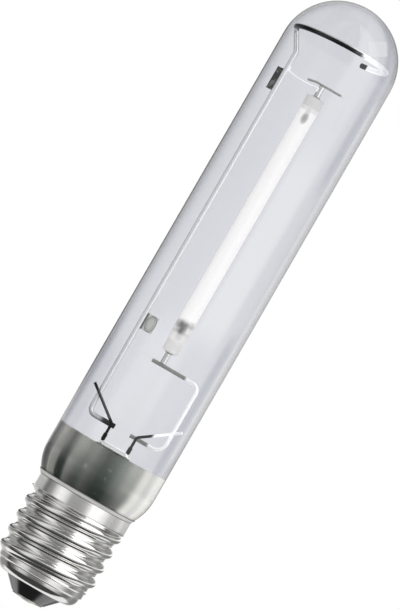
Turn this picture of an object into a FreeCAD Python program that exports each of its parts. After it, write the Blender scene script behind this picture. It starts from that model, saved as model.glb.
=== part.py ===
"""Tubular high-pressure sodium lamp with a large screw cap.

The lamp stands on the Z axis with its cap down. The origin is the tip of the centre contact,
+Z runs up to the tip of the bulb, and the long frame wire with the getters is on the -X side.
All lengths are millimetres.
"""

import FreeCAD, Part
import math
import os
import re

import Sketcher
from FreeCAD import Placement, Rotation, Vector

# Driving sizes, each written once
SIZES = [
    # screw cap, drawn and rolled from nickel-plated brass sheet
    ("shell_wall", 0.3, "sheet thickness of the shell"),
    ("cap_inset", 3.25, "crest of the screw thread inside the bulb's outline"),
    ("thread_depth", 1.8, "groove below the crest"),
    ("thread_pitch", 6.35, "four threads to the inch"),
    ("thread_length", 27.2, "from the plain neck to the plain skirt"),
    ("ridge_root", 0.1, "thread's ridge inside the core that carries it"),
    ("thread_flat", 0.05, "rolled flat at the bottom of the groove"),
    ("crest_drop", 2.7, "uppermost crest on the +X side, below the skirt"),
    ("runout_slope", 0.7, "rise per width of the collar where the thread runs out"),
    ("runout_drop", 2.2, "foot of that collar below the plain skirt"),
    ("runout_root", 0.5, "foot of that collar inside the groove's bottom"),
    ("skirt_inset", 0.1, "plain skirt inside the thread's crest"),
    ("skirt_length", 5.1, "plain skirt above the thread"),
    ("lip_length", 1.5, "flared lip that follows the glass"),
    ("neck_inset", 2.05, "plain neck inside the thread's crest"),
    ("neck_length", 1.8, "plain neck below the thread"),
    ("rim_inset", 0.8, "rolled rim inside the neck"),
    ("rim_bend", 3.7, "radius of the rolled rim"),
    ("rim_ledge", 0.6, "step from the rim up to the neck"),
    ("rim_straight", 0.3, "straight part of the rim under that step"),
    ("rim_bottom_height", 6.3, "underside of the rolled rim"),
    ("rim_lip", 1.4, "flat lip that holds the insulator"),
    ("seat_gap", 0.05, "hairline between pieces that seat in each other"),
    # black glass insulator and the contacts
    ("insulator_lip", 0.15, "insulator above the rim's bend"),
    ("insulator_base_height", 1.35, "flat end that carries the contact plate"),
    ("insulator_base_radius", 6.9, "small end of the insulator's cone"),
    ("insulator_cone_step", 0.4, "edge between the cone and the shell's lip"),
    ("insulator_dish_depth", 3.4, "hollow in the insulator's top"),
    ("insulator_dish_radius", 5.0, "floor of that hollow"),
    ("eyelet_radius", 1.4, "wire hole through insulator and contact plate"),
    ("contact_radius", 6.3, "brass contact plate"),
    ("contact_rim_height", 0.75, "edge of the contact plate's underside"),
    ("solder_radius", 2.5, "solder spot under the contact plate"),
    ("solder_flat", 1.0, "flattened tip of the solder spot"),
    ("solder_height", 0.28, "solder spot below the contact plate"),
    ("solder_plug", 0.8, "solder above the contact plate"),
    # outer bulb and stem
    ("bulb_radius", 23.0, "tubular outer bulb"),
    ("bulb_wall", 1.0, "glass thickness"),
    ("shoulder_rise", 11.6, "height of the bulb's shoulder above the skirt's end"),
    ("neck_bend", 6.0, "bend from the shoulder into the bulb's neck"),
    ("neck_glass_gap", 1.2, "room between the bulb's neck and the thread"),
    ("neck_glass_length", 13.3, "straight neck of the bulb"),
    ("stem_radius", 8.4, "stem tube"),
    ("stem_share", 0.538, "press top's share of the height from the seal to the crossbar"),
    ("press_taper", 5.0, "length over which the stem tube is flattened"),
    ("press_length", 9.0, "flattened press"),
    ("press_half_width", 7.2, "press, along X"),
    ("press_half_depth", 2.5, "press, along Y"),
    ("press_fillet", 1.2, "softened upper edge of the press"),
    ("exhaust_radius", 2.8, "exhaust tube"),
    ("exhaust_bore_radius", 1.8, "bore of the exhaust tube"),
    ("exhaust_drop", 5.0, "sealed tip of the exhaust tube below the seal"),
    ("exhaust_tip", 5.0, "drawn-out tip of the exhaust tube"),
    # wires
    ("frame_radius", 1.0, "long frame wire"),
    ("frame_inset", 6.9, "middle of the frame wire inside the bulb's bore"),
    ("frame_bend", 2.6, "bends of the frame wire"),
    ("frame_foot_reach", 3.8, "cut end of the frame wire's foot"),
    ("foot_rise", 6.4, "feet of the frame wires above the press"),
    ("knee_rise", 6.0, "knee of the frame wire above the upper crossbar"),
    ("hoop_rise", 9.2, "hoop above the knee"),
    ("hoop_lead_in", 3.38, "straight run from the knee's slope into the hoop"),
    ("hoop_over_dome", 4.7, "hoop above the centre of the bulb's dome"),
    ("hoop_gap", 2.1, "free play between the hoop and the glass"),
    ("hoop_shift", 0.9, "hoop's centre towards the frame wire"),
    ("hoop_open_angle", 120.0, "degrees left open at the back of the hoop"),
    ("hoop_tilt_angle", 3.8, "degrees by which the hoop rises to the front"),
    ("hoop_side_angle", 2.2, "degrees by which the hoop rises away from the knee"),
    ("support_radius", 0.75, "lower support wire"),
    ("support_inset", 5.6, "middle of the support wire inside the bulb's bore"),
    ("support_bend", 3.0, "upper bend of the support wire"),
    ("support_foot_bend", 4.0, "lower bend of the support wire"),
    ("support_foot_reach", 2.8, "cut end of the support wire's foot"),
    ("support_bar_reach", 4.2, "end of the support wire's crossbar past the axis"),
    ("lead_radius", 0.55, "lead-in wires"),
    ("lead_offset", 5.4, "lead-in wires' distance from the axis"),
    ("lead_tail", 1.0, "lead-in wires inside the stem's bore"),
    ("lead_knot_radius", 0.8, "thicker weld where a lead leaves the press"),
    ("lead_knot_height", 2.6, "height of that weld"),
    ("lead_bend", 1.2, "bend of the lead-in wires"),
    ("arm_rise", 10.2, "rise of the lead-in wires' spread arms"),
    ("left_arm_inset", 3.4, "end of the left spread arm inside the bulb's bore"),
    ("right_arm_inset", 2.4, "end of the right spread arm inside the bulb's bore"),
    ("copper_radius", 0.4, "copper wires in the cap"),
    ("copper_bend", 1.6, "bends of the copper wires"),
    ("side_lead_drop", 4.0, "copper wire turns out this far below the stem"),
    ("side_lead_slope", 5.5, "height of the side wire's slanted run"),
    ("side_lead_weld", 0.6, "end of the side wire above the rim's ledge"),
    ("centre_lead_drop", 1.5, "copper wire turns in this far below the exhaust tip"),
    ("centre_lead_slope", 7.5, "height of the centre wire's slanted run"),
    # arc tube
    ("light_centre_height", 163.0, "middle of the arc tube above the contact"),
    ("arc_tube_length", 110.4, "over both end plugs"),
    ("arc_tube_radius", 3.45, "translucent alumina tube"),
    ("arc_tube_wall", 0.75, "wall of the alumina tube"),
    ("upper_collar_radius", 3.65, "collar of the upper plug"),
    ("upper_collar_height", 4.3, "collar of the upper plug"),
    ("lower_collar_radius", 3.15, "collar of the lower plug"),
    ("lower_collar_height", 4.7, "collar of the lower plug"),
    ("collar_chamfer", 0.4, "broken edge at the outer end of a plug's collar"),
    ("plug_spigot", 1.8, "part of a plug inside the tube"),
    ("feedthrough_radius", 1.15, "niobium tube"),
    ("feedthrough_wall", 0.25, "wall of the niobium tube"),
    ("feedthrough_exposed", 4.8, "niobium tube outside its plug"),
    ("feedthrough_inner", 0.5, "niobium tube past the plug's inner face"),
    ("feedthrough_cap", 0.8, "closed inner end of the niobium tube"),
    ("seal_ring_radius", 2.0, "ring of sealing glass"),
    ("seal_ring_height", 0.5, "ring of sealing glass"),
    ("electrode_radius", 0.45, "tungsten rod"),
    ("electrode_root", 1.4, "rod held in the niobium tube"),
    ("upper_electrode_reach", 11.3, "upper rod's tip from the outer face of its plug"),
    ("lower_electrode_reach", 13.6, "lower rod's tip from the outer face of its plug"),
    ("electrode_tip", 0.8, "bare end of the rod past its coil"),
    ("coil_wire_radius", 0.2, "tungsten coil"),
    ("coil_pitch", 0.48, "tungsten coil"),
    ("coil_height", 2.88, "tungsten coil, between the middles of its end turns"),
    ("pellet_radius", 0.7, "sodium amalgam pellet"),
    # crossbar, strap and getters
    ("crossbar_radius", 0.45, "upper crossbar"),
    ("crossbar_left", 6.3, "reach of the upper crossbar towards the frame wire"),
    ("crossbar_right", 8.6, "reach of the upper crossbar away from the frame wire"),
    ("crossbar_dip", 0.7, "drop of the crossbar's left end"),
    ("crossbar_straight", 2.8, "where that drop starts, from the axis"),
    ("crossbar_bend", 3.0, "bend at the start of that drop"),
    ("strap_thickness", 0.3, "flexible strap"),
    ("strap_width", 1.6, "flexible strap"),
    ("strap_tab", 1.5, "tabs welded to the frame wire and the niobium tube"),
    ("strap_drop", 1.3, "strap's ends below the crossbar"),
    ("strap_sag", 0.6, "sag of the strap in its middle"),
    ("getter_sheet", 0.3, "getter plate"),
    ("getter_width", 5.7, "getter plate's free width"),
    ("getter_fold", 0.9, "half depth of the plate's edge that is welded to the wire"),
    ("getter_bend", 0.5, "bend between that edge and the plate"),
    ("lower_getter_height", 6.7, "lower getter plate"),
    ("upper_getter_height", 9.2, "upper getter plate"),
    ("lower_getter_rise", 5.7, "lower getter's middle above the arc tube's lower end"),
    ("upper_getter_drop", 1.1, "upper getter's middle below the arc tube's upper end"),
    ("upper_getter_angle", 132.0, "degrees by which the upper plate points to the back"),
    ("getter_oval_width", 1.75, "getter ring, half its width"),
    ("getter_oval_height", 2.9, "getter ring, half its height"),
    ("oval_side_share", 0.75, "corner of the ring's flank and end, share of half its width"),
    ("oval_end_share", 0.65, "corner of the ring's flank and end, share of half its height"),
    ("getter_margin", 0.25, "plate's edge beside the getter ring"),
    ("getter_channel", 0.85, "width of the pressed channel"),
    ("getter_channel_depth", 0.15, "depth of the pressed channel"),
    ("getter_fill_height", 0.3, "getter compound above the channel's floor"),
]

doc = FreeCAD.newDocument("TubularLamp")
sheet = doc.addObject("Spreadsheet::Sheet", "Sizes")
for row, (size_name, size, note) in enumerate(SIZES, start=1):
    sheet.set(f"A{row}", size_name)
    sheet.set(f"B{row}", str(size))
    sheet.set(f"C{row}", note)
    sheet.setAlias(f"B{row}", size_name)
doc.recompute()

# How far a tool solid runs past what it trims
OVERRUN = 1.0
SIZE_WORD = re.compile(r"\b[a-z]+(?:_[a-z]+)+\b")


def named(formula):
    """The formula with each size's name pointing into the sheet."""
    return SIZE_WORD.sub(lambda found: "Sizes." + found.group(), formula)


def number(formula):
    """What a formula of the sheet's names comes to."""
    return float(sheet.evalExpression(named(formula)))


# Heights and radii that follow from the sizes, as formulas of their names
BULB_BORE = "(bulb_radius - bulb_wall)"
THREAD_CREST = "(bulb_radius - cap_inset)"
THREAD_ROOT = f"({THREAD_CREST} - thread_depth)"
SKIRT_RADIUS = f"({THREAD_CREST} - skirt_inset)"
NECK_RADIUS = f"({THREAD_CREST} - neck_inset)"
RIM_RADIUS = f"({NECK_RADIUS} - rim_inset)"
RIM_CENTRE = f"({RIM_RADIUS} - rim_bend)"
RIM_BEND_HEIGHT = "(rim_bottom_height + rim_bend)"
NECK_BOTTOM = f"({RIM_BEND_HEIGHT} + rim_straight + rim_ledge)"
NECK_TOP = f"({NECK_BOTTOM} + neck_length)"
SKIRT_END = f"({NECK_TOP} + thread_length)"
LIP_START = f"({SKIRT_END} + skirt_length)"
CAP_TOP = f"({LIP_START} + lip_length)"
SKIRT_INNER = f"({SKIRT_RADIUS} - shell_wall)"
SHOULDER_HEIGHT = f"({LIP_START} + shoulder_rise)"
SHOULDER_DROP = f"(bulb_radius - {SKIRT_INNER} + seat_gap)"
SHOULDER_BEND = f"((shoulder_rise^2 + {SHOULDER_DROP}^2) / (2 * {SHOULDER_DROP}))"
GLASS_CENTRE = f"(bulb_radius - {SHOULDER_BEND})"
GLASS_AT_LIP = f"({GLASS_CENTRE} + sqrt({SHOULDER_BEND}^2 - (shoulder_rise - lip_length)^2))"
NECK_GLASS = f"({THREAD_ROOT} - shell_wall - neck_glass_gap)"
NECK_BORE = f"({NECK_GLASS} - bulb_wall)"
SHOULDER_COS = f"(1 - (bulb_radius - {NECK_GLASS}) / ({SHOULDER_BEND} + neck_bend))"
SHOULDER_SIN = f"sqrt(1 - {SHOULDER_COS}^2)"
NECK_HEIGHT = f"({SHOULDER_HEIGHT} - ({SHOULDER_BEND} + neck_bend) * {SHOULDER_SIN})"
SEAL_HEIGHT = f"({NECK_HEIGHT} - neck_glass_length)"
FLARE_BEND = f"({NECK_BORE} - stem_radius)"
STEM_BORE = "(stem_radius - bulb_wall)"
EXHAUST_TIP = f"({SEAL_HEIGHT} - exhaust_drop)"
UPPER_FACE = "(light_centre_height + arc_tube_length / 2)"
LOWER_FACE = "(light_centre_height - arc_tube_length / 2)"
TUBE_TOP = f"({UPPER_FACE} - upper_collar_height)"
TUBE_BOTTOM = f"({LOWER_FACE} + lower_collar_height)"
TUBE_BORE = "(arc_tube_radius - arc_tube_wall)"
CROSSBAR_HEIGHT = f"({UPPER_FACE} + feedthrough_exposed + crossbar_radius)"
SUPPORT_BAR_HEIGHT = f"({LOWER_FACE} - feedthrough_exposed - support_radius)"
PRESS_TOP = f"({SEAL_HEIGHT} + stem_share * ({SUPPORT_BAR_HEIGHT} - {SEAL_HEIGHT}))"
PRESS_START = f"({PRESS_TOP} - press_length)"
TAPER_START = f"({PRESS_START} - press_taper)"
BORE_END = f"({TAPER_START} - bulb_wall)"
FOOT_HEIGHT = f"({PRESS_TOP} + foot_rise)"
KNEE_HEIGHT = f"({CROSSBAR_HEIGHT} + knee_rise)"
HOOP_HEIGHT = f"({KNEE_HEIGHT} + hoop_rise)"
HOOP_RADIUS = "(bulb_radius - bulb_wall - hoop_gap - frame_radius)"
DOME_HEIGHT = f"({HOOP_HEIGHT} - hoop_over_dome)"
FRAME_OFFSET = f"({BULB_BORE} - frame_inset)"
SUPPORT_OFFSET = f"({BULB_BORE} - support_inset)"
LEFT_ARM = f"({BULB_BORE} - left_arm_inset - lead_offset)"
RIGHT_ARM = f"({BULB_BORE} - right_arm_inset - lead_offset)"
INSULATOR_TOP = f"({RIM_BEND_HEIGHT} + insulator_lip)"
SOLDER_TOP = "(insulator_base_height + solder_plug)"
LEFT_LEAD_DEPTH = "(-(frame_radius + lead_radius))"
RIGHT_LEAD_DEPTH = "(-(support_radius + lead_radius))"
LEAD_START = f"({BORE_END} - lead_tail)"


def new_body(label):
    """An empty body that carries the sub-part's name."""
    body = doc.addObject("PartDesign::Body", label)
    body.Label = label
    return body


def new_sketch(body, role, offset=None):
    """A sketch on one of the body's own origin planes, moved along its normal by a formula."""
    plane = next(o for o in body.Origin.OriginFeatures if o.Role == role)
    sketch = body.newObject("Sketcher::SketchObject", "Outline")
    sketch.AttachmentSupport = [(plane, "")]
    sketch.MapMode = "FlatFace"
    if offset:
        sketch.setExpression("AttachmentOffset.Base.z", named(offset))
    return sketch


def pin_corner(sketch, edge, end, across, up):
    """Ties one end of a sketch's edge to its two coordinates."""
    for kind, axis, formula in (("DistanceX", -2, across), ("DistanceY", -1, up)):
        if formula == "0":
            sketch.addConstraint(Sketcher.Constraint("PointOnObject", edge, end, axis))
            continue
        value = number(formula)
        tie = sketch.addConstraint(Sketcher.Constraint(kind, -1, 1, edge, end, value))
        sketch.setExpression(f"Constraints[{tie}]", named(formula))


def arc_between(start, finish, radius, turn):
    """The short arc of a radius from start to finish, which turns left or right."""
    half = (finish - start) / 2
    height = math.sqrt(max(radius**2 - half.Length**2, 0.0))
    side = Vector(-half.y, half.x, 0).normalize() * height
    centre = start + half + (side if turn == "left" else -side)
    ends = (start, finish) if turn == "left" else (finish, start)
    first, last = (math.atan2(p.y - centre.y, p.x - centre.x) for p in ends)
    return Part.ArcOfCircle(Part.Circle(centre, Vector(0, 0, 1), radius), first, last)


def draw(sketch, corners, closed=True):
    """Draws edges through the corners and ties each of them to the sheet.

    A corner is (across, up), or (across, up, turn, radius) where an arc leaves it.
    """
    at = [Vector(number(c[0]), number(c[1]), 0) for c in corners]
    count = len(corners) if closed else len(corners) - 1
    first_edge = sketch.GeometryCount
    ends = []
    for i in range(count):
        finish = at[(i + 1) % len(corners)]
        if len(corners[i]) == 4:
            turn, radius = corners[i][2:]
            edge = sketch.addGeometry(arc_between(at[i], finish, number(radius), turn), False)
            ends.append((1, 2) if turn == "left" else (2, 1))
            tie = sketch.addConstraint(Sketcher.Constraint("Radius", edge, number(radius)))
            sketch.setExpression(f"Constraints[{tie}]", named(radius))
        else:
            sketch.addGeometry(Part.LineSegment(at[i], finish), False)
            ends.append((1, 2))
    for i in range(count):
        edge = first_edge + i
        pin_corner(sketch, edge, ends[i][0], corners[i][0], corners[i][1])
        if closed or i < count - 1:
            j = (i + 1) % count
            join = ("Coincident", edge, ends[i][1], first_edge + j, ends[j][0])
            sketch.addConstraint(Sketcher.Constraint(*join))
    if not closed:
        pin_corner(sketch, first_edge + count - 1, ends[-1][1], *corners[-1][:2])


def draw_circle(sketch, across, up, radius):
    """A circle tied to the sheet."""
    centre = Vector(number(across), number(up), 0)
    edge = sketch.addGeometry(Part.Circle(centre, Vector(0, 0, 1), number(radius)), False)
    pin_corner(sketch, edge, 3, across, up)
    tie = sketch.addConstraint(Sketcher.Constraint("Radius", edge, number(radius)))
    sketch.setExpression(f"Constraints[{tie}]", named(radius))


def draw_oval(sketch, across, half_width, half_height):
    """A long round-ended oval of four arcs about a point on the sketch's horizontal axis."""
    side, end = f"({half_width} * oval_side_share)", f"({half_height} * oval_end_share)"
    bulge, crown = f"({half_width} - {side})", f"({half_height} - {end})"
    flank = f"(({end}^2 + {bulge}^2) / (2 * {bulge}))"
    top = f"(({side}^2 + {crown}^2) / (2 * {crown}))"
    right, left = f"({across} + {side})", f"({across} - {side})"
    draw(
        sketch,
        [
            (right, f"(-{end})", "left", flank),
            (right, end, "left", top),
            (left, end, "left", flank),
            (left, f"(-{end})", "left", top),
        ],
    )


def turned(label, corners):
    """A piece turned about the lamp's axis from its half section of radius and height."""
    body = new_body(label)
    section = new_sketch(body, "XZ_Plane")
    draw(section, corners)
    turning = body.newObject("PartDesign::Revolution", "Turning")
    turning.Profile = section
    turning.ReferenceAxis = (section, ["V_Axis"])
    turning.Angle = 360
    return body


def padded(body, sketch, length, reverse=False):
    """A pad of the sketch, its length tied to the sheet."""
    pad = body.newObject("PartDesign::Pad", "Pad")
    pad.Profile = sketch
    pad.Reversed = reverse
    pad.setExpression("Length", named(length))
    return pad


def piece(label, shape):
    """A sub-part whose solid is worked out directly from the sizes."""
    feature = doc.addObject("Part::Feature", label)
    feature.Label = label
    feature.Shape = shape
    return feature


def point(across, depth, up):
    """A point from three formulas."""
    return Vector(number(across), number(depth), number(up))


def bent_path(corners, radii):
    """Straight runs through the corners, joined by tangent arcs."""
    edges = []
    start = corners[0]
    for before, corner, after, radius in zip(corners, corners[1:], corners[2:], radii):
        back = (before - corner).normalize()
        ahead = (after - corner).normalize()
        half = back.getAngle(ahead) / 2
        setback = radius / math.tan(half)
        middle = (back + ahead).normalize()
        nearest = corner + middle * (radius / math.sin(half) - radius)
        edges.append(Part.makeLine(start, corner + back * setback))
        leave = corner + ahead * setback
        edges.append(Part.Arc(corner + back * setback, nearest, leave).toShape())
        start = leave
    edges.append(Part.makeLine(start, corners[-1]))
    return edges


def round_wire(edges, radius):
    """A solid wire of round section along a path."""
    first = edges[0]
    start = first.valueAt(first.FirstParameter)
    heading = first.tangentAt(first.FirstParameter)
    section = Part.Wire([Part.makeCircle(radius, start, heading)])
    return Part.Wire(edges).makePipeShell([section], True, False)


def turned_solid(edges):
    """A solid turned about the lamp's axis from the edges of its half section."""
    return Part.Face(Part.Wire(edges)).revolve(Vector(0, 0, 0), Vector(0, 0, 1), 360)


def cap_envelope(inset):
    """The cap's outline apart from its thread, moved in by the sheet for the inside."""
    corner_shift = inset * (math.sqrt(2) - 1)
    clear = number(THREAD_CREST) + OVERRUN - inset
    skirt = number(SKIRT_RADIUS) - inset
    neck = number(NECK_RADIUS) - inset
    rim = number(RIM_RADIUS) - inset
    lip = number(f"{GLASS_AT_LIP} + seat_gap + shell_wall") - inset
    centre = number(RIM_CENTRE)
    bend = number("rim_bend") - inset
    bend_height = number(RIM_BEND_HEIGHT)
    neck_bottom = number(NECK_BOTTOM) + corner_shift / 2
    neck_top = number(NECK_TOP) + corner_shift
    skirt_end = number(SKIRT_END) - corner_shift
    floor = bend_height - bend
    outside = [
        (rim, bend_height),
        (rim, neck_bottom - number("rim_ledge")),
        (neck, neck_bottom),
        (neck, neck_top),
        (clear, neck_top + clear - neck),
        (clear, skirt_end - clear + skirt),
        (skirt, skirt_end),
        (skirt, number(LIP_START)),
        (lip, number(CAP_TOP)),
    ]
    if inset:
        # the inside is open at both ends, so it runs on through the lip and the rim's hole
        hole = centre - number("rim_lip")
        above, under = number(CAP_TOP) + OVERRUN, floor - OVERRUN
        through = [(lip, above), (0, above), (0, under), (hole, under), (hole, floor)]
    else:
        through = [(0, number(CAP_TOP)), (0, floor)]
    corners = [Vector(r, 0, z) for r, z in outside + through + [(centre, floor)]]
    diagonal = bend * math.sqrt(0.5)
    lowest = Vector(centre + diagonal, 0, bend_height - diagonal)
    bend_arc = Part.Arc(corners[-1], lowest, corners[0]).toShape()
    return turned_solid(Part.makePolygon(corners).Edges + [bend_arc])


def thread_section(inset):
    """Section of the thread's ridge: crest and roots are equal arcs that meet smoothly."""
    pitch = number("thread_pitch")
    major = number(THREAD_CREST)
    minor = number(THREAD_ROOT)
    depth = major - minor
    rolled = (pitch**2 / 4 + depth**2) / (4 * depth)
    crest, root = rolled - inset, rolled + inset
    crest_centre = Vector(major - rolled, 0, 0)
    root_centre = Vector(minor + rolled, 0, pitch / 2)
    base = minor + number("thread_flat") - inset
    across = (root_centre - crest_centre).normalize()
    joint = crest_centre + across * crest
    foot_rise = math.sqrt(root**2 - (root_centre.x - base) ** 2)
    foot = Vector(base, 0, pitch / 2 - foot_rise)
    flank = root_centre + ((joint + foot) / 2 - root_centre).normalize() * root
    buried = Vector(base - inset / 2 - number("ridge_root"), 0, foot.z)

    def below(place):
        return Vector(place.x, 0, -place.z)

    edges = [
        Part.Arc(below(foot), below(flank), below(joint)).toShape(),
        Part.Arc(below(joint), Vector(major - inset, 0, 0), joint).toShape(),
        Part.Arc(joint, flank, foot).toShape(),
        Part.makeLine(foot, buried),
        Part.makeLine(buried, below(buried)),
        Part.makeLine(below(buried), below(foot)),
    ]
    return Part.Wire(edges)


def cap_form(inset):
    """The cap's outer form, or its inside one sheet further in: a core with the helical ridge
    and a collar where the groove runs out, trimmed to the cap's outline.
    """
    pitch = number("thread_pitch")
    core = number(f"{THREAD_ROOT} + thread_flat") - inset
    wide = number("bulb_radius")
    top = number(CAP_TOP) + 2 * OVERRUN
    highest_crest = number(f"{SKIRT_END} - crest_drop")
    turns_down = math.ceil((highest_crest - number(NECK_TOP)) / pitch + 0.5)
    # the ridge ends half a turn up, on the side away from the cylinder's seam
    turns = turns_down + 0.5
    start = Vector(0, 0, highest_crest - turns_down * pitch)
    helix = Part.makeHelix(pitch, turns * pitch, core)
    helix.translate(start)
    section = thread_section(inset)
    section.translate(start)
    ridge = Part.Wire(helix.Edges).makePipeShell([section], True, True)
    slope = number("runout_slope")
    runout = number(f"{SKIRT_END} - runout_drop") + inset * (math.sqrt(1 + slope**2) - slope)
    root = core - number("runout_root")
    wide_end = runout + (wide - root) * slope
    collar = [(0, runout), (root, runout), (wide, wide_end), (wide, top), (0, top)]
    corners = [Vector(r, 0, z) for r, z in collar + collar[:1]]
    core_solid = Part.makeCylinder(core, top + OVERRUN, Vector(0, 0, -OVERRUN))
    threaded = core_solid.fuse(ridge)
    return threaded.fuse(turned_solid(Part.makePolygon(corners).Edges)).common(cap_envelope(inset))


# Screw cap, from the contact up
SOLDER_BEND = "(((solder_radius - solder_flat)^2 + solder_height^2) / (2 * solder_height))"
turned(
    "centre_solder",
    [
        ("0", "0"),
        ("solder_flat", "0", "left", SOLDER_BEND),
        ("solder_radius", "solder_height"),
        ("eyelet_radius", "solder_height"),
        ("eyelet_radius", SOLDER_TOP),
        ("0", SOLDER_TOP),
    ],
)
turned(
    "centre_contact",
    [
        ("eyelet_radius", "solder_height"),
        ("solder_radius", "solder_height"),
        ("contact_radius", "contact_rim_height"),
        ("contact_radius", "insulator_base_height"),
        ("eyelet_radius", "insulator_base_height"),
    ],
)
INSULATOR_INNER = f"({RIM_CENTRE} - rim_lip - seat_gap)"
RIM_FLOOR = "(rim_bottom_height + shell_wall + seat_gap)"
turned(
    "cap_insulator",
    [
        ("eyelet_radius", "insulator_base_height"),
        ("insulator_base_radius", "insulator_base_height"),
        (f"({INSULATOR_INNER} - insulator_cone_step)", "(rim_bottom_height - insulator_cone_step)"),
        (INSULATOR_INNER, "rim_bottom_height"),
        (INSULATOR_INNER, RIM_FLOOR),
        (RIM_CENTRE, RIM_FLOOR, "left", "(rim_bend - shell_wall - seat_gap)"),
        (f"({RIM_RADIUS} - shell_wall - seat_gap)", RIM_BEND_HEIGHT),
        (f"({RIM_RADIUS} - shell_wall - seat_gap)", INSULATOR_TOP),
        (f"({RIM_CENTRE} - rim_lip)", INSULATOR_TOP),
        ("insulator_dish_radius", f"({INSULATOR_TOP} - insulator_dish_depth)"),
        ("eyelet_radius", f"({INSULATOR_TOP} - insulator_dish_depth)"),
    ],
)
piece("cap_shell", cap_form(0).cut(cap_form(number("shell_wall"))))
turned(
    "basing_cement",
    [
        (f"({NECK_GLASS} + seat_gap)", NECK_HEIGHT),
        (f"({SKIRT_INNER} - seat_gap)", SKIRT_END),
        (
            f"({SKIRT_INNER} - seat_gap)",
            f"({NECK_HEIGHT} + (neck_bend - seat_gap) * {SHOULDER_SIN})",
        ),
        (
            f"({NECK_GLASS} + neck_bend - (neck_bend - seat_gap) * {SHOULDER_COS})",
            f"({NECK_HEIGHT} + (neck_bend - seat_gap) * {SHOULDER_SIN})",
            "left",
            "(neck_bend - seat_gap)",
        ),
    ],
)

# Outer bulb: a dome, a long tube, a shoulder and the neck that the stem is fused into
turned(
    "outer_bulb",
    [
        (NECK_GLASS, SEAL_HEIGHT),
        (NECK_GLASS, NECK_HEIGHT, "right", "neck_bend"),
        (
            f"({GLASS_CENTRE} + {SHOULDER_BEND} * {SHOULDER_COS})",
            f"({SHOULDER_HEIGHT} - {SHOULDER_BEND} * {SHOULDER_SIN})",
            "left",
            SHOULDER_BEND,
        ),
        ("bulb_radius", SHOULDER_HEIGHT),
        ("bulb_radius", DOME_HEIGHT, "left", "bulb_radius"),
        ("0", f"({DOME_HEIGHT} + bulb_radius)"),
        ("0", f"({DOME_HEIGHT} + {BULB_BORE})", "right", BULB_BORE),
        (BULB_BORE, DOME_HEIGHT),
        (BULB_BORE, SHOULDER_HEIGHT, "right", f"({SHOULDER_BEND} - bulb_wall)"),
        (
            f"({GLASS_CENTRE} + ({SHOULDER_BEND} - bulb_wall) * {SHOULDER_COS})",
            f"({SHOULDER_HEIGHT} - ({SHOULDER_BEND} - bulb_wall) * {SHOULDER_SIN})",
            "left",
            "(neck_bend + bulb_wall)",
        ),
        (NECK_BORE, NECK_HEIGHT),
        (NECK_BORE, SEAL_HEIGHT),
    ],
)

# Stem: a flared tube whose upper end is pressed flat around the two lead-in wires
stem = turned(
    "stem",
    [
        (NECK_GLASS, SEAL_HEIGHT),
        (NECK_BORE, SEAL_HEIGHT, "right", FLARE_BEND),
        ("stem_radius", f"({SEAL_HEIGHT} + {FLARE_BEND})"),
        ("stem_radius", TAPER_START),
        ("0", TAPER_START),
        ("0", BORE_END),
        (STEM_BORE, BORE_END),
        (STEM_BORE, f"({SEAL_HEIGHT} + {FLARE_BEND})", "left", f"({FLARE_BEND} + bulb_wall)"),
        (NECK_BORE, f"({SEAL_HEIGHT} - bulb_wall)"),
        (NECK_GLASS, f"({SEAL_HEIGHT} - bulb_wall)"),
    ],
)
round_end = new_sketch(stem, "XY_Plane", TAPER_START)
SIDE, QUARTER = "(stem_radius / 2)", "(stem_radius * sin(60))"
draw(
    round_end,
    [
        (SIDE, f"(-{QUARTER})", "left", "stem_radius"),
        ("stem_radius", "0", "left", "stem_radius"),
        (SIDE, QUARTER, "left", "stem_radius"),
        (f"(-{SIDE})", QUARTER, "left", "stem_radius"),
        ("(-stem_radius)", "0", "left", "stem_radius"),
        (f"(-{SIDE})", f"(-{QUARTER})", "left", "stem_radius"),
    ],
)
flat_end = new_sketch(stem, "XY_Plane", PRESS_START)
FLAT = "(press_half_width - press_half_depth)"
draw(
    flat_end,
    [
        (FLAT, "(-press_half_depth)", "left", "press_half_depth"),
        ("press_half_width", "0", "left", "press_half_depth"),
        (FLAT, "press_half_depth"),
        (f"(-{FLAT})", "press_half_depth", "left", "press_half_depth"),
        ("(-press_half_width)", "0", "left", "press_half_depth"),
        (f"(-{FLAT})", "(-press_half_depth)"),
    ],
)
taper = stem.newObject("PartDesign::AdditiveLoft", "Taper")
taper.Profile = round_end
taper.Sections = [flat_end]
press = padded(stem, flat_end, "press_length")
doc.recompute()
press_edges = [
    f"Edge{i}"
    for i, edge in enumerate(press.Shape.Edges, start=1)
    if edge.BoundBox.ZMin > number(PRESS_TOP) - 0.01
]
soft_edge = stem.newObject("PartDesign::Fillet", "SoftEdge")
soft_edge.Base = (press, press_edges)
soft_edge.setExpression("Radius", named("press_fillet"))
wire_holes = new_sketch(stem, "XY_Plane", BORE_END)
draw_circle(wire_holes, "(-lead_offset)", LEFT_LEAD_DEPTH, "lead_radius")
draw_circle(wire_holes, "lead_offset", RIGHT_LEAD_DEPTH, "lead_radius")
sealed_in = stem.newObject("PartDesign::Pocket", "SealedIn")
sealed_in.Profile = wire_holes
sealed_in.Type = "ThroughAll"
sealed_in.Reversed = True

turned(
    "exhaust_tube",
    [
        ("exhaust_bore_radius", BORE_END),
        ("exhaust_bore_radius", f"({EXHAUST_TIP} + exhaust_tip)"),
        ("0", f"({EXHAUST_TIP} + exhaust_tip / 2)"),
        ("0", EXHAUST_TIP),
        ("(exhaust_radius / 4)", EXHAUST_TIP),
        ("exhaust_radius", f"({EXHAUST_TIP} + exhaust_tip)"),
        ("exhaust_radius", BORE_END),
    ],
)


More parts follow.
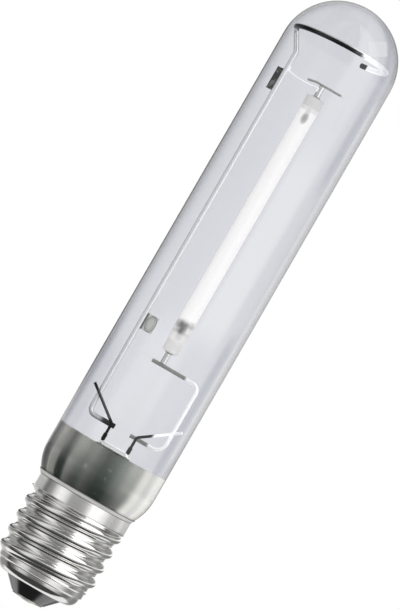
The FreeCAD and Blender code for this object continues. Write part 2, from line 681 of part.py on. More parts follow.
# Lead-in wires: up through the press, then spread to the side in front of the frame wires
def lead_in(label, side, depth, reach):
    """One lead-in wire; side is -1 or 1 along X, reach the width of its spread arm."""
    start = point(f"{side} * lead_offset", depth, LEAD_START)
    corner = point(f"{side} * lead_offset", depth, f"{FOOT_HEIGHT} + lead_radius")
    end = corner + point(f"{side} * {reach}", "0", "arm_rise")
    wire = round_wire(bent_path([start, corner, end], [number("lead_bend")]), number("lead_radius"))
    knot_foot = point(f"{side} * lead_offset", depth, PRESS_TOP)
    knot = Part.makeCylinder(number("lead_knot_radius"), number("lead_knot_height"), knot_foot)
    piece(label, wire.fuse(knot))


lead_in("left_lead_in", -1, LEFT_LEAD_DEPTH, LEFT_ARM)
lead_in("right_lead_in", 1, RIGHT_LEAD_DEPTH, RIGHT_ARM)

# Copper wires in the cap: one is welded inside the shell's neck, one ends in the solder
copper = number("copper_radius")
copper_bend = number("copper_bend")
side_top = point("-lead_offset", LEFT_LEAD_DEPTH, LEAD_START)
side_turn = point("-lead_offset", LEFT_LEAD_DEPTH, f"{SEAL_HEIGHT} - bulb_wall - side_lead_drop")
weld_radius = number(f"{NECK_RADIUS} - shell_wall - copper_radius - seat_gap")
weld_across = -math.sqrt(weld_radius**2 - side_turn.y**2)
side_slope_end = Vector(weld_across, side_turn.y, side_turn.z - number("side_lead_slope"))
side_end = Vector(weld_across, side_turn.y, number(f"{NECK_BOTTOM} + side_lead_weld"))
side_path = bent_path([side_top, side_turn, side_slope_end, side_end], [copper_bend] * 2)
piece("side_contact_wire", round_wire(side_path, copper))

centre_top = point("lead_offset", RIGHT_LEAD_DEPTH, LEAD_START)
centre_turn = point("lead_offset", RIGHT_LEAD_DEPTH, f"{EXHAUST_TIP} - centre_lead_drop")
centre_slope_end = Vector(0, 0, centre_turn.z - number("centre_lead_slope"))
centre_end = point("0", "0", SOLDER_TOP)
centre_path = bent_path(
    [centre_top, centre_turn, centre_slope_end, centre_end], [copper_bend] * 2
)
piece("centre_contact_wire", round_wire(centre_path, copper))

# Frame wire: foot, long upright, knee, and the open hoop that steadies the mount in the dome
tilt = math.radians(number("hoop_tilt_angle"))
side_tilt = math.radians(number("hoop_side_angle"))
hoop_radius = number(HOOP_RADIUS)
hoop_centre = point("-hoop_shift", "0", HOOP_HEIGHT)
to_side = Vector(math.cos(side_tilt), 0, math.sin(side_tilt))
hoop_normal = to_side.cross(Vector(0, math.cos(tilt), -math.sin(tilt))).normalize()
to_back = hoop_normal.cross(to_side)


def on_hoop(degrees):
    """A point on the hoop's middle line, which starts at 180 degrees and rises to the front."""
    turn = math.radians(degrees)
    return hoop_centre + (to_side * math.cos(turn) + to_back * math.sin(turn)) * hoop_radius


HOOP_START, FULL_TURN = 180, 360
hoop_end = HOOP_START + FULL_TURN - number("hoop_open_angle")
hoop_corner = on_hoop(HOOP_START) + to_back * number("hoop_lead_in")
frame_path = bent_path(
    [
        point("-frame_foot_reach", "0", FOOT_HEIGHT),
        point(f"-{FRAME_OFFSET}", "0", FOOT_HEIGHT),
        point(f"-{FRAME_OFFSET}", "0", KNEE_HEIGHT),
        hoop_corner,
        on_hoop(HOOP_START),
    ],
    [number("frame_bend")] * 3,
)
hoop_middle = on_hoop((HOOP_START + hoop_end) / 2)
frame_path.append(Part.Arc(on_hoop(HOOP_START), hoop_middle, on_hoop(hoop_end)).toShape())
piece("frame_wire", round_wire(frame_path, number("frame_radius")))

# Lower support wire: crossbar under the arc tube, upright, foot above the press
support = new_body("lower_support_wire")
support_path = new_sketch(support, "XZ_Plane")
draw(
    support_path,
    [
        ("(-support_bar_reach)", SUPPORT_BAR_HEIGHT),
        (f"({SUPPORT_OFFSET} - support_bend)", SUPPORT_BAR_HEIGHT, "right", "support_bend"),
        (SUPPORT_OFFSET, f"({SUPPORT_BAR_HEIGHT} - support_bend)"),
        (SUPPORT_OFFSET, f"({FOOT_HEIGHT} + support_foot_bend)", "right", "support_foot_bend"),
        (f"({SUPPORT_OFFSET} - support_foot_bend)", FOOT_HEIGHT),
        ("support_foot_reach", FOOT_HEIGHT),
    ],
    closed=False,
)
support_section = new_sketch(support, "YZ_Plane", "(-support_bar_reach)")
draw_circle(support_section, "0", SUPPORT_BAR_HEIGHT, "support_radius")
support_pipe = support.newObject("PartDesign::AdditivePipe", "Wire")
support_pipe.Profile = support_section
support_pipe.Spine = (support_path, [])

# Upper crossbar, welded across the end of the upper niobium tube
crossbar_path = bent_path(
    [
        point("-crossbar_left", "0", f"{CROSSBAR_HEIGHT} - crossbar_dip"),
        point("-crossbar_straight", "0", CROSSBAR_HEIGHT),
        point("crossbar_right", "0", CROSSBAR_HEIGHT),
    ],
    [number("crossbar_bend")],
)
piece("upper_crossbar", round_wire(crossbar_path, number("crossbar_radius")))

# Flexible strap: carries the current and lets the arc tube grow when it is hot
strap = new_body("flexible_strap")
strap_outline = new_sketch(strap, "XZ_Plane", "(-strap_width / 2)")
STRAP_LEFT = f"(frame_radius - {FRAME_OFFSET})"
STRAP_RIGHT = "(-feedthrough_radius)"
STRAP_TOP = f"({CROSSBAR_HEIGHT} - strap_drop)"
STRAP_SPAN = f"({STRAP_RIGHT} - {STRAP_LEFT} - 2 * strap_thickness)"
STRAP_BEND = f"(({STRAP_SPAN}^2 / 4 + strap_sag^2) / (2 * strap_sag))"
draw(
    strap_outline,
    [
        (STRAP_LEFT, f"({STRAP_TOP} + strap_tab)"),
        (STRAP_LEFT, f"({STRAP_TOP} - strap_thickness)", "left", STRAP_BEND),
        (f"({STRAP_RIGHT} - strap_thickness)", f"({STRAP_TOP} - strap_thickness)"),
        (f"({STRAP_RIGHT} - strap_thickness)", f"({STRAP_TOP} - strap_thickness - strap_tab)"),
        (STRAP_RIGHT, f"({STRAP_TOP} - strap_thickness - strap_tab)"),
        (STRAP_RIGHT, STRAP_TOP, "right", STRAP_BEND),
        (f"({STRAP_LEFT} + strap_thickness)", STRAP_TOP),
        (f"({STRAP_LEFT} + strap_thickness)", f"({STRAP_TOP} + strap_tab)"),
    ],
)
padded(strap, strap_outline, "strap_width")

# Arc tube with its two plugs
turned(
    "arc_tube",
    [
        (TUBE_BORE, TUBE_BOTTOM),
        ("arc_tube_radius", TUBE_BOTTOM),
        ("arc_tube_radius", TUBE_TOP),
        (TUBE_BORE, TUBE_TOP),
    ],
)


def arc_tube_end(where, face, outward):
    """Plug, sealing glass, niobium tube, electrode and coil at one end of the arc tube.

    face is the plug's outer face, and outward the sign along Z that leads out of the tube.
    """

    def off(*lengths):
        return f"({face} - {outward} * (" + " + ".join(lengths) + "))"

    def laid(corners):
        # the lower end's section is drawn in the other sense, so its corners are reversed
        return corners if outward > 0 else corners[::-1]

    collar, height = f"{where}_collar_radius", f"{where}_collar_height"
    bore = "(feedthrough_radius + seat_gap)"
    spigot = f"({TUBE_BORE} - seat_gap)"
    inner_face = off(height, "plug_spigot")
    turned(
        f"{where}_end_plug",
        laid(
            [
                (bore, inner_face),
                (spigot, inner_face),
                (spigot, off(height)),
                (f"min(arc_tube_radius; {collar})", off(height)),
                (collar, off("collar_chamfer")),
                (f"({collar} - collar_chamfer)", face),
                (bore, face),
            ]
        ),
    )
    turned(
        f"{where}_seal_ring",
        laid(
            [
                ("feedthrough_radius", face),
                ("seal_ring_radius", face),
                ("feedthrough_radius", off("-seal_ring_height")),
            ]
        ),
    )
    inner_end = off(height, "plug_spigot", "feedthrough_inner")
    cap_inside = off(height, "plug_spigot", "feedthrough_inner", "-feedthrough_cap")
    outer_end = off("-feedthrough_exposed")
    turned(
        f"{where}_niobium_tube",
        laid(
            [
                ("electrode_radius", inner_end),
                ("feedthrough_radius", inner_end),
                ("feedthrough_radius", outer_end),
                ("(feedthrough_radius - feedthrough_wall)", outer_end),
                ("(feedthrough_radius - feedthrough_wall)", cap_inside),
                ("electrode_radius", cap_inside),
            ]
        ),
    )
    tip = off(f"{where}_electrode_reach")
    root = off(height, "plug_spigot", "feedthrough_inner", "-electrode_root")
    turned(
        f"{where}_electrode_rod",
        laid([("0", tip), ("electrode_radius", tip), ("electrode_radius", root), ("0", root)]),
    )
    coil = new_body(f"{where}_electrode_coil")
    coil_section = new_sketch(coil, "XZ_Plane")
    turn_radius = "(electrode_radius + seat_gap + coil_wire_radius)"
    below = "electrode_tip" if outward > 0 else "electrode_tip + coil_height"
    coil_start = f"({tip} + {outward} * ({below} + coil_wire_radius))"
    draw_circle(coil_section, turn_radius, coil_start, "coil_wire_radius")
    winding = coil.newObject("PartDesign::AdditiveHelix", "Winding")
    winding.Profile = coil_section
    winding.ReferenceAxis = (coil_section, ["V_Axis"])
    winding.Mode = 0
    winding.setExpression("Pitch", named("coil_pitch"))
    winding.setExpression("Height", named("coil_height"))


arc_tube_end("upper", UPPER_FACE, 1)
arc_tube_end("lower", LOWER_FACE, -1)

# Sodium amalgam, which lies on the lower plug beside the electrode
pellet = doc.addObject("Part::Sphere", "amalgam_pellet")
pellet.Label = "amalgam_pellet"
pellet.setExpression("Radius", named("pellet_radius"))
pellet.setExpression("Placement.Base.x", named(f"(feedthrough_radius + {TUBE_BORE}) / 2"))
pellet.setExpression("Placement.Base.z", named(f"{TUBE_BOTTOM} + plug_spigot + pellet_radius"))

# Getters: folded plates welded to the frame wire, each with a ring of getter in a channel
RING_ACROSS = "(getter_width - getter_margin - getter_oval_width)"
RING_INNER_WIDTH = "(getter_oval_width - getter_channel)"
RING_INNER_HEIGHT = "(getter_oval_height - getter_channel)"


def getter(where, height, middle, turn):
    """One getter plate and its filling, drawn beside a wire on the axis, then set on the wire."""

    def set_on_wire(body):
        body.Placement = Placement(Vector(0, 0, 0), Rotation(Vector(0, 0, 1), number(turn)))
        body.setExpression("Placement.Base.x", named(f"-{FRAME_OFFSET}"))
        body.setExpression("Placement.Base.z", named(middle))
        body.setExpression("Placement.Rotation.Angle", named(turn))

    plate = new_body(f"{where}_getter_plate")
    fold = new_sketch(plate, "XY_Plane", f"(-{height} / 2)")
    draw(
        fold,
        [
            ("frame_radius", "getter_fold"),
            ("frame_radius", "(getter_bend - getter_fold)", "left", "getter_bend"),
            ("(frame_radius + getter_bend)", "(-getter_fold)"),
            ("getter_width", "(-getter_fold)"),
            ("getter_width", "(getter_sheet - getter_fold)"),
            (
                "(frame_radius + getter_bend)",
                "(getter_sheet - getter_fold)",
                "right",
                "(getter_bend - getter_sheet)",
            ),
            ("(frame_radius + getter_sheet)", "(getter_bend - getter_fold)"),
            ("(frame_radius + getter_sheet)", "getter_fold"),
        ],
    )
    padded(plate, fold, height)
    channel_outline = new_sketch(plate, "XZ_Plane", "getter_fold")
    draw_oval(channel_outline, RING_ACROSS, "getter_oval_width", "getter_oval_height")
    draw_oval(channel_outline, RING_ACROSS, RING_INNER_WIDTH, RING_INNER_HEIGHT)
    channel = plate.newObject("PartDesign::Pocket", "Channel")
    channel.Profile = channel_outline
    channel.setExpression("Length", named("getter_channel_depth"))
    set_on_wire(plate)

    filling = new_body(f"{where}_getter_filling")
    ring = new_sketch(filling, "XZ_Plane", "(getter_fold - getter_channel_depth)")
    draw_oval(ring, RING_ACROSS, "getter_oval_width", "getter_oval_height")
    draw_oval(ring, RING_ACROSS, RING_INNER_WIDTH, RING_INNER_HEIGHT)
    padded(filling, ring, "getter_fill_height")
    set_on_wire(filling)


getter("lower", "lower_getter_height", f"{LOWER_FACE} + lower_getter_rise", "0 * 1 deg")
getter(
    "upper",
    "upper_getter_height",
    f"{UPPER_FACE} - upper_getter_drop",
    "upper_getter_angle * 1 deg",
)

doc.recompute()

KINDS = ("PartDesign::Body", "Part::Feature", "Part::Sphere")
faults = [o.Label for o in doc.Objects if "Invalid" in o.State or "Error" in o.State]
sub_parts = [o for o in doc.Objects if o.TypeId in KINDS and not o.getParentGeoFeatureGroup()]
faults += [o.Label for o in sub_parts if not o.Shape.Solids or not o.Shape.isValid()]
if faults:
    raise RuntimeError("these did not come out sound: " + ", ".join(faults))

os.makedirs("parts", exist_ok=True)
for part in sub_parts:
    part.Shape.exportStep(f"parts/{part.Label}.step")
print(len(sub_parts), "sub-parts written")
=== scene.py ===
"""How a clear tubular sodium lamp with a large screw cap looks, built up as the lamp is."""

import math

import bpy
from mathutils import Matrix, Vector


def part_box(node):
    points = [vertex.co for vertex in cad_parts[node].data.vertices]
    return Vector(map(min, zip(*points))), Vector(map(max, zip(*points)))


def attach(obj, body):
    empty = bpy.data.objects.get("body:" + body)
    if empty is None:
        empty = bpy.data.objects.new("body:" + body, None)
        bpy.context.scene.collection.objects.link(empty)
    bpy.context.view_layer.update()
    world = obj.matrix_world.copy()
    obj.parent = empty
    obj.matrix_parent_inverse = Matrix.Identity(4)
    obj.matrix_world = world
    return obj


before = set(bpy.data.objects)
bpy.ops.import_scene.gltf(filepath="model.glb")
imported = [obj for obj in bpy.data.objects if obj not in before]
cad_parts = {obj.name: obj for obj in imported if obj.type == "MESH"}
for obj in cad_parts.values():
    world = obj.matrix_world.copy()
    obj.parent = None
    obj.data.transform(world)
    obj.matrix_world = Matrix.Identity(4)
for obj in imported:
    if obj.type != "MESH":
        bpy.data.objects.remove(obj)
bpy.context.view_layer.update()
bpy.ops.object.select_all(action="DESELECT")

# Arc tube: sintered alumina, white and translucent. It has a painted glow so that it looks lit,
# the electrodes inside it are painted on its wall as soft grey painted shadows, and the wall is
# painted greyer at both ends, where the plugs stand, as painted shade.
MM = 0.001


class Value:
    """A number that changes over a surface: arithmetic on it adds the nodes that work it out."""

    def __init__(self, nodes, socket):
        self.nodes = nodes
        self.socket = socket

    def math(self, operation, *values):
        """One Math node of this operation on these values."""
        return self.nodes.node("Math", {"operation": operation}, dict(enumerate(values)))

    def __add__(self, other):
        return self.math("ADD", self, other)

    def __radd__(self, other):
        return self.math("ADD", other, self)

    def __sub__(self, other):
        return self.math("SUBTRACT", self, other)

    def __rsub__(self, other):
        return self.math("SUBTRACT", other, self)

    def __mul__(self, other):
        return self.math("MULTIPLY", self, other)

    def __rmul__(self, other):
        return self.math("MULTIPLY", other, self)

    def __truediv__(self, other):
        return self.math("DIVIDE", self, other)

    def __pow__(self, other):
        return self.math("POWER", self, other)

    def __neg__(self):
        return self.math("MULTIPLY", self, -1.0)

    def larger(self, other):
        """The larger of this and another."""
        return self.math("MAXIMUM", self, other)

    def rise(self, start, end):
        """0 up to start and 1 from end on, with a smooth step between; start may be the larger."""
        low, high = min(start, end), max(start, end)
        settings = {"interpolation_type": "SMOOTHSTEP"}
        step = self.nodes.node("MapRange", settings, {0: self, 1: low, 2: high})
        return step if start < end else 1 - step

    def within(self, low, high, soft):
        """1 from low to high, falling smoothly to 0 over the width soft at each side."""
        return self.rise(low - soft, low) * self.rise(high + soft, high)


class Nodes:
    """The nodes of one material or of the world."""

    def __init__(self, tree):
        self.tree = tree

    def node(self, kind, settings=None, inputs=None, output=0):
        """Add a node of this kind and return what it puts out."""
        made = self.tree.nodes.new("ShaderNode" + kind)
        for key, value in (settings or {}).items():
            if key == "stops":
                points = made.color_ramp.elements
                points[0].position, points[-1].position = value[0][0], value[-1][0]
                points[0].color, points[-1].color = (*value[0][1], 1), (*value[-1][1], 1)
                for place, color in value[1:-1]:
                    points.new(place).color = (*color, 1)
            else:
                setattr(made, key, value)
        for key, value in (inputs or {}).items():
            if isinstance(value, Value):
                self.tree.links.new(value.socket, made.inputs[key])
            else:
                made.inputs[key].default_value = value
        return Value(self, made.outputs[output])

    def axes(self):
        """X, Y and Z on the piece, in metres."""
        place = self.node("TexCoord", output="Object")
        return [self.node("SeparateXYZ", None, {0: place}, axis) for axis in range(3)]

    def bearing(self):
        """Degrees round the lamp's axis: 0 at -Y, 90 at +X, from -180 to 180."""
        x, y, _ = self.axes()
        return x.math("ARCTAN2", x, -y) * (180 / math.pi)

    def noise(self, scale, detail=3.0, stretch=(1, 1, 1)):
        """Cloudy noise from 0 to 1, finer along an axis with a larger stretch."""
        place = self.node("TexCoord", output="Object")
        place = self.node("Mapping", None, {"Vector": place, "Scale": stretch})
        return self.node("TexNoise", None, {"Vector": place, "Scale": scale, "Detail": detail})

    def blend(self, factor, first, second):
        """A colour between two, each one a colour or a value."""
        first, second = [v if isinstance(v, Value) else (*v, 1) for v in (first, second)]
        settings = {"data_type": "RGBA"}
        return self.node("Mix", settings, {0: factor, 6: first, 7: second}, 2)

    def round_tones(self, stops, full=1.0):
        """Tones round the axis from stops of (bearing in degrees, tone), as shares of full."""
        stops = [((turn + 180) / 360, (tone / full,) * 3) for turn, tone in stops]
        return self.node("ValToRGB", {"stops": stops}, {0: (self.bearing() + 180) / 360})


class Finish(Nodes):
    """A surface finish: one Principled shader and what changes over the surface."""

    def __init__(self, name, color, roughness, metallic=0.0, others=None):
        self.material = bpy.data.materials.new(name)
        self.material.use_nodes = True
        super().__init__(self.material.node_tree)
        self.shader = self.tree.nodes["Principled BSDF"]
        self.shader.inputs["Base Color"].default_value = (*color, 1)
        self.shader.inputs["Roughness"].default_value = roughness
        self.shader.inputs["Metallic"].default_value = metallic
        for key, value in (others or {}).items():
            self.shader.inputs[key].default_value = value

    def feed(self, **values):
        """Link values to the shader, each to the socket that it is named after."""
        for key, value in values.items():
            socket = self.shader.inputs[key.replace("_", " ").title()]
            self.tree.links.new(value.socket, socket)

    def grain(self, height, strength, depth):
        """Fine relief from a value, depth metres deep."""
        inputs = {"Height": height, "Strength": strength, "Distance": depth}
        self.feed(normal=self.node("Bump", None, inputs))

    def put_on(self, *names):
        """Give the solids of these names this finish."""
        for name in names:
            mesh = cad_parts[name].data
            mesh.materials.clear()
            mesh.materials.append(self.material)


ALUMINA = (0.94, 0.93, 0.90)
GLOW = (1.0, 0.97, 0.92)
DARK = (0.05, 0.05, 0.05)
SHADOW_END = 2.4
low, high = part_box("arc_tube")
TUBE_BOTTOM, TUBE_TOP = low[2], high[2]
UPPER_TIP, LOWER_TIP = TUBE_TOP - 4.5 * MM, TUBE_BOTTOM + 6.8 * MM
UPPER_PLUG_FROM = TUBE_TOP - 1.4 * MM
LOWER_PLUG_TO = TUBE_BOTTOM + 4.4 * MM
# The alumina has a painted glow, so that it looks lit.
arc_tube = Finish("alumina", ALUMINA, 0.35, 0.0, {"Emission Strength": 0.43})
x, _, z = arc_tube.axes()


def shadow(tip, aside, lift, half_width, half_height):
    """A soft round shadow beside and above an electrode's tip, its sizes in millimetres."""
    across = (x - aside * MM) / (half_width * MM)
    along = (z - (tip + lift * MM)) / (half_height * MM)
    return (across * across + along * along).rise(SHADOW_END, 0.0)


cloud = arc_tube.noise(500.0)
# Painted shadows of the electrodes and painted shade near the plugs darken the wall and its
# painted glow.
painted_tube_shade = shadow(UPPER_TIP, 0.0, 0.0, 1.1, 2.0) * 0.62
painted_tube_shade = painted_tube_shade.larger(shadow(UPPER_TIP, 0.0, 2.4, 0.9, 2.6) * 0.3)
painted_tube_shade = painted_tube_shade.larger(z.within(UPPER_PLUG_FROM, TUBE_TOP, 0.4 * MM) * 0.2)
painted_tube_shade = painted_tube_shade + shadow(LOWER_TIP, -0.6, -0.6, 1.7, 2.4) * 0.46
painted_tube_shade = painted_tube_shade + shadow(LOWER_TIP, 0.2, -2.2, 1.2, 3.2) * 0.16
painted_tube_shade = painted_tube_shade + shadow(LOWER_TIP, 2.5, 1.3, 1.7, 1.2) * 0.30
painted_tube_shade = painted_tube_shade + shadow(LOWER_TIP, -2.4, 0.4, 1.5, 1.6) * 0.22
painted_tube_shade = painted_tube_shade + z.rise(LOWER_TIP + 2.2 * MM, LOWER_TIP + 0.4 * MM) * (0.10 + cloud * 0.3)
painted_tube_shade = painted_tube_shade + z.within(LOWER_PLUG_TO - 1.0 * MM, LOWER_PLUG_TO, 0.4 * MM) * 0.12
arc_tube.feed(base_color=arc_tube.blend(painted_tube_shade, ALUMINA, DARK))
arc_tube.feed(emission_color=arc_tube.blend(painted_tube_shade, GLOW, DARK))
arc_tube.grain(cloud, 0.1, 0.05 * MM)
arc_tube.put_on("arc_tube")

# Ends of the arc tube: alumina plugs, niobium tubes sealed into them with a ceramic frit, and
# tungsten electrodes inside, each a rod with a coil wound on its tip.
# The plugs have a painted glow, as the tube has.
inner_light = {"Emission Color": (*GLOW, 1), "Emission Strength": 0.2}
plug = Finish("plug_ceramic", (0.80, 0.79, 0.76), 0.45, 0.0, inner_light)
cloud = plug.noise(900.0)
plug.feed(base_color=plug.blend(cloud, (0.86, 0.85, 0.82), (0.70, 0.69, 0.66)))
plug.grain(cloud, 0.15, 0.05 * MM)
plug.put_on("upper_end_plug", "lower_end_plug")

frit = Finish("seal_glass", (0.45, 0.43, 0.40), 0.3)
frit.feed(base_color=frit.blend(frit.noise(1200.0), (0.52, 0.50, 0.46), (0.38, 0.36, 0.33)))
frit.put_on("upper_seal_ring", "lower_seal_ring")

niobium = Finish("niobium", (0.72, 0.71, 0.69), 0.3, 1.0)
cloud = niobium.noise(150.0)
niobium.feed(base_color=niobium.blend(cloud, (0.92, 0.91, 0.89), (0.74, 0.73, 0.71)))
niobium.feed(roughness=0.14 + niobium.noise(500.0, stretch=(1, 1, 8)) * 0.2)
niobium.put_on("upper_niobium_tube", "lower_niobium_tube")

tungsten = Finish("tungsten", (0.16, 0.16, 0.17), 0.4, 1.0)
tungsten.feed(roughness=0.3 + tungsten.noise(2000.0) * 0.3)
tungsten.put_on(
    "upper_electrode_rod", "lower_electrode_rod", "upper_electrode_coil", "lower_electrode_coil"
)

# Sodium amalgam: a small silvery pellet of sodium and mercury. It is dropped in before the
# arc tube is sealed, and sits in the coldest place, behind the lower electrode.
amalgam = Finish("amalgam", (0.7, 0.7, 0.72), 0.2, 1.0)
amalgam.feed(roughness=0.12 + amalgam.noise(1500.0) * 0.25)
amalgam.put_on("amalgam_pellet")

# Frame wire: nickel-plated iron wire, bent to a foot, a knee and an open hoop that springs
# against the dome. It is bright with a painted glow, and painted black at the hoop's front and at
# the foot as painted dark reflection.
PLATED = (0.93, 0.93, 0.92)
BLACK_STAIN_AND_SHADE = (0.003, 0.003, 0.003)


def drawn_wire(name, light, node):
    """Bright drawn wire with a little light of its own, on the solid of this name."""
    wire = Finish(name, PLATED, 0.3, 0.6, {"Emission Strength": light})
    wire.feed(roughness=0.22 + wire.noise(400.0, stretch=(1, 1, 0.1)) * 0.18)
    wire.put_on(node)
    return wire


low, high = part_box("frame_wire")
HOOP_FROM, HOOP_END_FROM = high[2] - 4.4 * MM, high[2] - 7.6 * MM
FOOT_TO = low[2] + 2.6 * MM
frame_wire = drawn_wire("frame_steel", 0.7, "frame_wire")
x, y, z = frame_wire.axes()
# The hoop, its end and the foot are painted black as painted dark reflection, the hoop's upward
# faces less so, as a painted highlight.
normal = frame_wire.node("TexCoord", output="Normal")
facing_up = frame_wire.node("SeparateXYZ", None, {0: normal}, 2).rise(0.35, 0.75)
hoop = z.rise(HOOP_FROM, HOOP_FROM + 0.5 * MM) * x.rise(9.0 * MM, 6.0 * MM)
hoop_end = z.rise(HOOP_END_FROM, HOOP_END_FROM + 0.4 * MM) * y.rise(4.0 * MM, 8.0 * MM)
hoop_end = hoop_end * x.within(7.5 * MM, 10.5 * MM, 0.6 * MM)
foot = z.rise(FOOT_TO + 0.4 * MM, FOOT_TO) * x.rise(-11.0 * MM, -8.5 * MM)
painted_dark = hoop * (1 - facing_up * 0.9) + hoop_end + foot
frame_wire.feed(base_color=frame_wire.blend(painted_dark, PLATED, BLACK_STAIN_AND_SHADE))
# The wire's painted glow is brighter towards +X, as a painted highlight.
sheen = (1 - painted_dark) * (0.12 + x.rise(0, 6 * MM) * 0.88)
frame_wire.feed(emission_color=frame_wire.blend(sheen, BLACK_STAIN_AND_SHADE, PLATED))

# Lead-in wires: stiff wires that come out of the stem and are bent and welded to the frame.
# Sealing has oxidised the left one black, with a lighter middle as a painted highlight. The right
# one is painted black as painted dark reflection, but for the end of its arm, painted bright.
left_lead = Finish("stained_lead", BLACK_STAIN_AND_SHADE, 0.4, 0.9)
wear = left_lead.noise(600.0)
# The left arm's middle is painted lighter, as a painted highlight.
middle_highlight = left_lead.axes()[0].within(-15 * MM, -8 * MM, 2 * MM) * (0.5 + wear)
left_lead.feed(base_color=left_lead.blend(middle_highlight, BLACK_STAIN_AND_SHADE, (0.10, 0.10, 0.095)))
left_lead.feed(roughness=0.35 + wear * 0.2)
left_lead.put_on("left_lead_in")


def shade_and_highlight(wire, shaded_to, lit_from, color, glow, lit_glow=PLATED):
    """Paint a wire dark up to one X, soft-edged to bright from another: painted shade and
    highlight.
    """
    lit_part = wire.axes()[0].rise(shaded_to, lit_from)
    wire.feed(base_color=wire.blend(lit_part, color, PLATED))
    wire.feed(emission_color=wire.blend(lit_part, glow, lit_glow))


right_lead = drawn_wire("lead_metal", 0.8, "right_lead_in")
# The right lead is painted black as painted dark reflection, but for its arm's end, which is
# painted bright with a painted glow.
shade_and_highlight(right_lead, 9.8 * MM, 11.2 * MM, BLACK_STAIN_AND_SHADE, BLACK_STAIN_AND_SHADE)

# Lower support: one wire welded under the arc tube, bent down to the right lead-in. Its level run
# and its foot are painted grey as painted dark reflection, and the upright between them is painted
# bright with a painted glow.
support = drawn_wire("support_steel", 0.55, "lower_support_wire")
shade_and_highlight(support, 9.6 * MM, 11.0 * MM, (0.30, 0.30, 0.28), (0.16, 0.16, 0.15))

# Upper crossbar and strap: a thin wire across the top of the arc tube, to which the niobium tube
# is welded, painted grey as painted shade but for its right end, which is painted bright with a
# brighter painted glow, and the loose flat strap that lets the arc tube grow as it heats.
crossbar = drawn_wire("crossbar_metal", 0.5, "upper_crossbar")
shade_and_highlight(
    crossbar, 7.2 * MM, 8.2 * MM, (0.40, 0.40, 0.38), (0.20, 0.20, 0.19), (0.50, 0.50, 0.48)
)
# The strap has a painted glow, so that it shows bright.
inner_light = {"Emission Color": (*PLATED, 1), "Emission Strength": 0.7}
strap = Finish("strap_metal", (0.8, 0.8, 0.78), 0.3, 0.8, inner_light)
strap.feed(roughness=0.2 + strap.noise(700.0) * 0.2)
strap.put_on("flexible_strap")

# Getters: small pressed steel plates welded beside the frame wire, each with an oval groove
# packed with barium. The upper one is burnt nearly black, the lower one is pale grey-green.
low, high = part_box("lower_getter_filling")
GETTER_X, GETTER_Z = (low[0] + high[0]) / 2, (low[2] + high[2]) / 2
GROOVE_X, GROOVE_Z = (high[0] - low[0]) / 2, (high[2] - low[2]) / 2
LOWER_TO, UPPER_FROM = 150 * MM, 160 * MM
pressed = Finish("getter_steel", (0.70, 0.71, 0.66), 0.45, 0.5)
x, _, z = pressed.axes()
across, along = (x - GETTER_X) / GROOVE_X, (z - GETTER_Z) / GROOVE_Z
oval = (across * across + along * along) ** 0.5
# The lower plate is darker along its groove's outline and on its -X side.
outline = oval.within(1.0, 1.1, 0.12) * 0.6
weld = x.rise(GETTER_X - 1.9 * MM, GETTER_X - 2.5 * MM) * 0.8
darker_marks = (outline + weld) * z.rise(170 * MM, 160 * MM)
pale = pressed.blend(darker_marks + pressed.noise(700.0) * 0.12, (0.92, 0.93, 0.87), (0.10, 0.11, 0.09))
patches = pressed.noise(350.0).rise(0.48, 0.62)
soot = pressed.blend(patches, (0.07, 0.075, 0.065), (0.32, 0.33, 0.30))
pressed.feed(base_color=pressed.blend(z.rise(LOWER_TO, UPPER_FROM), pale, soot))
pressed.grain(pressed.noise(900.0), 0.15, 0.05 * MM)
pressed.put_on("upper_getter_plate", "lower_getter_plate")
packed = Finish("getter_compound", (0.62, 0.63, 0.57), 0.8)
grains = packed.noise(2500.0)
pale = packed.blend(grains, (0.70, 0.71, 0.64), (0.54, 0.55, 0.49))
upper = packed.axes()[2].rise(LOWER_TO, UPPER_FROM)
packed.feed(base_color=packed.blend(upper, pale, (0.05, 0.055, 0.045)))
packed.grain(grains, 0.4, 0.08 * MM)
packed.put_on("upper_getter_filling", "lower_getter_filling")

# Stem: a flared glass tube that is pressed flat round the lead-in wires, with the exhaust tube
# under it. It is clear glass, a little grey where it was heated and pressed, with a painted glow,
# and the top of its press is painted bright as a painted highlight.
FACE_GLOSS, RIM_GLOSS = 0.03, 0.6
RIM_POWER = 5


def clear_glass(name, tint, deep_tint, rim, light=0.0):
    """Clear glass: light goes straight through it, less so at its rims, which reflect more."""
    # The mirror part has a painted glow of strength light.
    shine = {"Emission Color": (1, 1, 0.97, 1), "Emission Strength": light}
    glass = Finish(name, (1, 1, 1), 0.04, 1.0, shine)
    facing = glass.node("LayerWeight", None, {"Blend": 0.5}, "Facing")
    clear = glass.node("BsdfTransparent", None, {"Color": (*tint, 1)})
    deep = glass.node("BsdfTransparent", None, {"Color": (*deep_tint, 1)})
    edge = glass.node("BsdfTransparent", None, {"Color": (*rim, 1)})
    gloss = Value(glass, glass.shader.outputs[0])

    def finish(outer, depth, bright=0.0):
        """Join the parts: outer is 1 on the outside, and depth and bright are 0 to 1."""
        body = glass.node("MixShader", None, {0: depth, 1: clear, 2: deep})
        body = glass.node("MixShader", None, {0: facing**RIM_POWER * outer, 1: body, 2: edge})
        mirror = (facing**RIM_POWER * RIM_GLOSS + FACE_GLOSS) * outer + bright
        surface = glass.node("MixShader", None, {0: mirror, 1: body, 2: gloss})
        glass.tree.links.new(surface.socket, glass.tree.nodes["Material Output"].inputs["Surface"])

    return glass, finish


stem, finish = clear_glass(
    "stem_glass",
    tint=(0.98, 0.98, 0.97),
    deep_tint=(0.90, 0.90, 0.89),
    rim=(0.75, 0.75, 0.74),
    light=0.5,
)
z = stem.axes()[2]
STEM_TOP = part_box("stem")[1][2]
